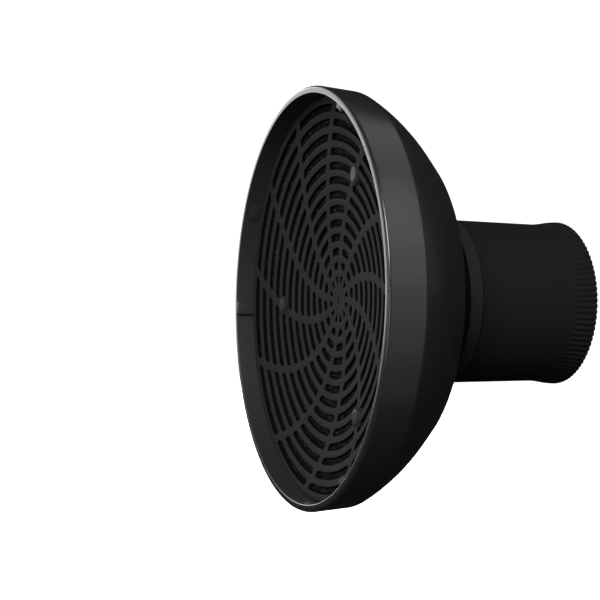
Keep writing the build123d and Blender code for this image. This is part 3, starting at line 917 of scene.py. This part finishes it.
@dataclass
class Foam:
    """The disc of open-cell foam that lies against the back of the grille."""

    dish: Dish = field(default_factory=Dish)
    radius: float = 78.3
    gap: float = 1.66
    thickness: float = 5.7
    spacing: float = 0.8
    swell: float = 1.1
    slot: float = 3.05
    spoke: float = 3.05
    first: float = 8.0
    pitch: float = 5.73
    rows: int = 13
    pit: float = 0.55
    cell: float = 2.2
    boss_circle: float = 54.4
    boss_clear: float = 4.7

    def keeps(self, vert: Any, bosses: Sequence[Vector]) -> bool:
        """Whether a point of the flat sheet lies on the foam."""
        inside = hypot(vert.co.y, vert.co.z) < self.radius * MM
        return inside and all((vert.co - b).length > self.boss_clear * MM for b in bosses)

    def pillow(self, place: Vector) -> float:
        """How far, in mm, the foam swells into the slot in front of a place on the flat sheet."""
        spread = hypot(place.y, place.z) / MM
        row = round((spread - self.first) / self.pitch)
        if not 0 <= row < self.rows:
            return 0.0
        across = (spread - self.first - row * self.pitch) / (self.slot / 2)
        turn = degrees(atan2(-place.y, place.z)) - self.dish.spoke(spread)
        share = (turn * self.dish.spokes / 360) % 1.0
        past = min(share, 1 - share) * 360 / self.dish.spokes - self.dish.half_angle(spread, self.spoke)
        past *= radians(spread)
        return self.swell * sqrt(max(0.0, 1 - across**2)) * min(1.0, max(0.0, past / 1.2))

    def mesh(self) -> bpy.types.Object:
        """Builds the disc, which swells into the slots and has pits in both faces."""
        bm = bmesh.new()
        count = int(2 * self.radius / self.spacing)
        upright = Matrix.Rotation(pi / 2, 4, "Y")
        bmesh.ops.create_grid(bm, x_segments=count, y_segments=count, size=self.radius * MM, matrix=upright)
        bosses = [Vector((0.0, *placed(0.0, self.boss_circle, turn).yz)) for turn in THIRDS]
        bmesh.ops.delete(bm, geom=[v for v in bm.verts if not self.keeps(v, bosses)], context="VERTS")
        grown = bmesh.ops.extrude_face_region(bm, geom=bm.faces[:], use_keep_orig=True)["geom"]
        back = {v for v in grown if isinstance(v, bmesh.types.BMVert)}
        for vert in bm.verts:
            spread = hypot(vert.co.y, vert.co.z) / MM
            grain = noise.voronoi(Vector((vert.co.y, vert.co.z, 0.0)) / (self.cell * MM))[0]
            pit = self.pit * max(0.0, 0.75 - grain[0] * 1.1)
            rough = noise.noise(vert.co / (0.9 * MM)) * 0.12
            station = self.dish.station(spread) + self.gap
            depth = self.thickness - pit - rough if vert in back else pit + rough - self.pillow(vert.co)
            vert.co.x = at(station + depth)
        bmesh.ops.recalc_face_normals(bm, faces=bm.faces[:])
        return new_piece(bm, "foam", Body.CASSETTE, sharp=60.0)

    def build(self) -> bpy.types.Object:
        """Builds and dresses the foam."""
        piece = self.mesh()
        dress(piece, FOAM_PU.material())
        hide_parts("foam_disc")
        return piece


# --- Sleeve -----------------------------------------------------------------------


@dataclass
class Sleeve:
    """The rubber sleeve: a plain tube with a flared mouth whose outside has fine grooves."""

    front: float = 64.4
    front_radius: float = 33.9
    waist: Point = (103.5, 33.3)
    mouth: Point = (116.5, 34.6)
    edge: float = 0.7
    bore: float = 29.5
    stop: tuple[float, float] = (84.0, 86.5)
    stop_radius: float = 28.2
    spigot: float = 30.6
    bead: tuple[float, float, float] = (77.0, 80.0, 31.4)
    grooves: int = 90
    groove_depth: float = 0.6
    groove_length: float = 7.6
    groove_fade: float = 3.4
    spans_per_groove: int = 8

    def flare(self) -> list[Point]:
        """Profile of the outside from the waist to the mouth."""
        points = []
        for step in range(29):
            share = step / 28
            rise = (1 - cos(pi * share)) / 2
            station = self.waist[0] + (self.mouth[0] - self.edge - self.waist[0]) * share
            points.append((station, self.waist[1] + (self.mouth[1] - self.waist[1]) * rise))
        return points

    def profile(self) -> list[Point]:
        """Whole closed profile."""
        edge = self.edge
        mouth, radius = self.mouth
        soft_front = arc((self.front + edge, self.front_radius - edge), edge, 180, 90, 4)
        soft_mouth = arc((mouth - edge, radius - edge), edge, 90, 0, 4)[1:]
        bead_start, bead_end, bead_radius = self.bead
        stop_front, stop_back = self.stop
        return [
            (self.front, self.spigot),
            *soft_front,
            *self.flare(),
            *soft_mouth,
            (mouth, self.bore + 0.4),
            (mouth - 0.12, self.bore + 0.12),
            (mouth - 0.4, self.bore),
            (stop_back, self.bore),
            (stop_back, self.stop_radius),
            (stop_front, self.stop_radius),
            (stop_front, self.spigot),
            (bead_end, self.spigot),
            (bead_start, bead_radius),
            (bead_start, self.spigot),
        ]

    def cut_grooves(self, bm: bmesh.types.BMesh) -> None:
        """Presses the fine grooves into the outside of the mouth, fading out forwards."""
        last = self.mouth[0]
        for vert in bm.verts:
            station = vert.co.x / MM - FRONT
            radius = hypot(vert.co.y, vert.co.z) / MM
            if radius < self.waist[1] - 1.2 or station < last - self.groove_length - self.groove_fade:
                continue
            fade = min(1.0, (station - last + self.groove_length + self.groove_fade) / self.groove_fade)
            turn = Vector((vert.co.z, -vert.co.y)).angle_signed(Vector((1.0, 0.0)))
            wave = (1 - cos(turn * self.grooves)) / 2
            cut = self.groove_depth * fade * wave**3
            scale = (radius - cut) / radius
            vert.co.y *= scale
            vert.co.z *= scale

    def mesh(self) -> bpy.types.Object:
        """Builds the sleeve."""
        bm = bmesh.new()
        lathe(bm, self.profile(), self.grooves * self.spans_per_groove)
        self.cut_grooves(bm)
        return new_piece(bm, "sleeve", Body.SLEEVE, sharp=48.0)

    def build(self) -> bpy.types.Object:
        """Builds and dresses the sleeve."""
        piece = self.mesh()
        dress(piece, SLEEVE_RUBBER.material())
        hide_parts("rubber_sleeve")
        return piece


# --- Inner parts --------------------------------------------------------------------


@dataclass
class InnerParts:
    """The stiff parts inside, whose shapes come from the frame and only get their finishes here."""

    plain: tuple[str, ...] = ("air_spreader", "retaining_ring", "sleeve_carrier")
    washers: tuple[str, ...] = ("front_slip_washer", "rear_slip_washer")
    seal: str = "drag_ring"

    def screws(self) -> list[str]:
        """Names of all the screws in the frame."""
        return sorted(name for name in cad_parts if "_screw_" in name)

    def build(self) -> None:
        """Dresses every inner part."""
        groups = (
            (self.plain, INNER_PP.material()),
            (self.washers, SLIP_SHEET.material()),
            ((self.seal,), SEAL_RUBBER.material()),
            (self.screws(), SCREW_ZINC.material()),
        )
        for names, material in groups:
            for name in names:
                dress(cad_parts[name], material)
                log.info("%s dressed", name)


# --- Studio -----------------------------------------------------------------------


@dataclass
class Panel:
    """A soft box that faces the object from a little way off. One that isn't mirrored only fills shade."""

    name: str
    direction: tuple[float, float, float]
    size: tuple[float, float]
    radiance: float
    distance: float = 1.5
    mirrored: bool = True

    def build(self, target: Vector) -> None:
        """Adds the light."""
        data = bpy.data.lights.new(self.name, "AREA")
        data.shape = "RECTANGLE"
        data.size, data.size_y = self.size
        data.energy = self.radiance * pi * self.size[0] * self.size[1]
        light = bpy.data.objects.new(self.name, data)
        away = Vector(self.direction).normalized()
        light.location = target + away * self.distance
        light.rotation_mode = "QUATERNION"
        light.rotation_quaternion = away.to_track_quat("Z", "Y")
        light.visible_glossy = self.mirrored
        bpy.context.scene.collection.objects.link(light)


@dataclass
class Studio:
    """A white sweep, soft boxes and the camera."""

    floor_drop: float = 0.03
    floor_radius: float = 1.6
    wall_radius: float = 3.2
    wall_height: float = 3.0
    eye: tuple[float, float, float] = (-2.442, -6.397, -0.0435)
    right: tuple[float, float, float] = (0.93439, -0.35597, 0.01433)
    ahead: tuple[float, float, float] = (0.35593, 0.93450, 0.00546)
    lens: float = 87.06
    side_cards: tuple[tuple[float, float, float], ...] = (
        (41.0, 0.87, 1.5),
        (16.0, 0.45, 1.15),
        (-1.0, 0.45, 0.7),
        (-18.0, 0.45, 0.5),
        (-38.0, 0.45, 0.2),
    )

    def sweep(self, lowest: float) -> None:
        """Adds the floor and the wall behind it as one curved sheet."""
        bm = bmesh.new()
        bottom = lowest - self.floor_drop
        bend = self.wall_radius - self.floor_radius
        turns = [step * pi / 48 for step in range(25)]
        curve = [(self.floor_radius + bend * sin(t), bottom + bend * (1 - cos(t))) for t in turns]
        outline = [(0.0, bottom), *curve, (self.wall_radius, bottom + self.wall_height)]
        verts = [bm.verts.new((radius, 0.0, height)) for radius, height in outline]
        edges = [bm.edges.new(pair) for pair in zip(verts, verts[1:])]
        bmesh.ops.spin(
            bm,
            geom=verts + edges,
            cent=(0.0, 0.0, 0.0),
            axis=(0.0, 0.0, 1.0),
            angle=2 * pi,
            steps=96,
            use_merge=True,
        )
        bmesh.ops.remove_doubles(bm, verts=bm.verts[:], dist=1e-5)
        bmesh.ops.recalc_face_normals(bm, faces=bm.faces[:])
        bmesh.ops.reverse_faces(bm, faces=bm.faces[:])
        for face in bm.faces:
            face.smooth = True
        mesh = bpy.data.meshes.new("sweep")
        bm.to_mesh(mesh)
        bm.free()
        sheet = bpy.data.objects.new("sweep", mesh)
        bpy.context.scene.collection.objects.link(sheet)
        dress(sheet, PAPER.material())
        sheet.visible_glossy = False
        sheet.visible_diffuse = False
        sheet.visible_shadow = False

    def lights(self, target: Vector) -> None:
        """Adds the soft boxes and the dim light of the room."""
        panels = [
            Panel("key_panel", (-0.53, -0.70, 0.48), (0.7, 0.6), 17.0),
            Panel("lip_panel", (-0.62, -0.78, -0.15), (0.6, 0.8), 3.0),
            Panel("top_panel", (0.4, 0.0, 1.0), (1.0, 0.8), 0.8),
            Panel("right_panel", (0.95, -0.25, 0.3), (0.8, 0.8), 0.12),
            Panel("left_panel", (-1.0, -0.1, 0.05), (0.35, 0.8), 4.0),
            Panel("left_back_panel", (-0.8, 0.6, 0.25), (0.6, 0.8), 2.5),
            Panel("far_panel", (-0.1, 1.0, 0.2), (0.4, 0.8), 4.0),
            Panel("rear_fill", (0.6, 0.78, 0.25), (0.8, 0.8), 14.0, mirrored=False),
            Panel("back_panel", (-0.36, 0.93, 0.27), (0.7, 0.9), 2.6),
        ]
        for elevation, height, radiance in self.side_cards:
            turn = radians(elevation)
            direction = (0.5 * cos(turn), -0.87 * cos(turn), sin(turn))
            panels.append(Panel(f"side_panel_{elevation:.0f}", direction, (1.0, height), radiance))
        for panel in panels:
            panel.build(target)
        world = bpy.data.worlds.new("room")
        world.use_nodes = True
        world.node_tree.nodes["Background"].inputs[0].default_value = (1.0, 1.0, 1.0, 1.0)
        world.node_tree.nodes["Background"].inputs[1].default_value = 0.01
        bpy.context.scene.world = world
        bpy.context.scene.view_settings.view_transform = "Standard"

    def camera(self, lip: Vector, radius: float) -> None:
        """Adds the camera.

        Args:
            lip: Centre of the lip's front.
            radius: Radius of the lip in metres.
        """
        data = bpy.data.cameras.new("camera")
        data.lens = self.lens
        data.sensor_width = 36.0
        right, ahead = Vector(self.right).normalized(), Vector(self.ahead).normalized()
        up = right.cross(ahead).normalized()
        turn = Matrix((right, up, -ahead)).transposed()
        camera = bpy.data.objects.new("camera", data)
        camera.matrix_world = Matrix.Translation(lip + Vector(self.eye) * radius) @ turn.to_4x4()
        bpy.context.scene.collection.objects.link(camera)
        bpy.context.scene.camera = camera

    def build(self) -> None:
        """Sets up the whole studio round the frame's box."""
        low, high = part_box("bowl_shell")
        lip = Vector((low.x, 0.0, 0.0))
        self.camera(lip, 0.085)
        self.sweep(low.z)
        self.lights(Vector((low.x / 2, 0.0, 0.0)))


def main() -> None:
    """Builds the object's pieces in order, then the studio."""
    logging.basicConfig(level=logging.INFO, format="%(message)s")
    makers: tuple[Callable[[], Any], ...] = (
        Studio().build,
        Bowl().build,
        Grille().build,
        Foam().build,
        Sleeve().build,
        InnerParts().build,
    )
    for make in makers:
        make()


if __name__ == "__main__":
    main()
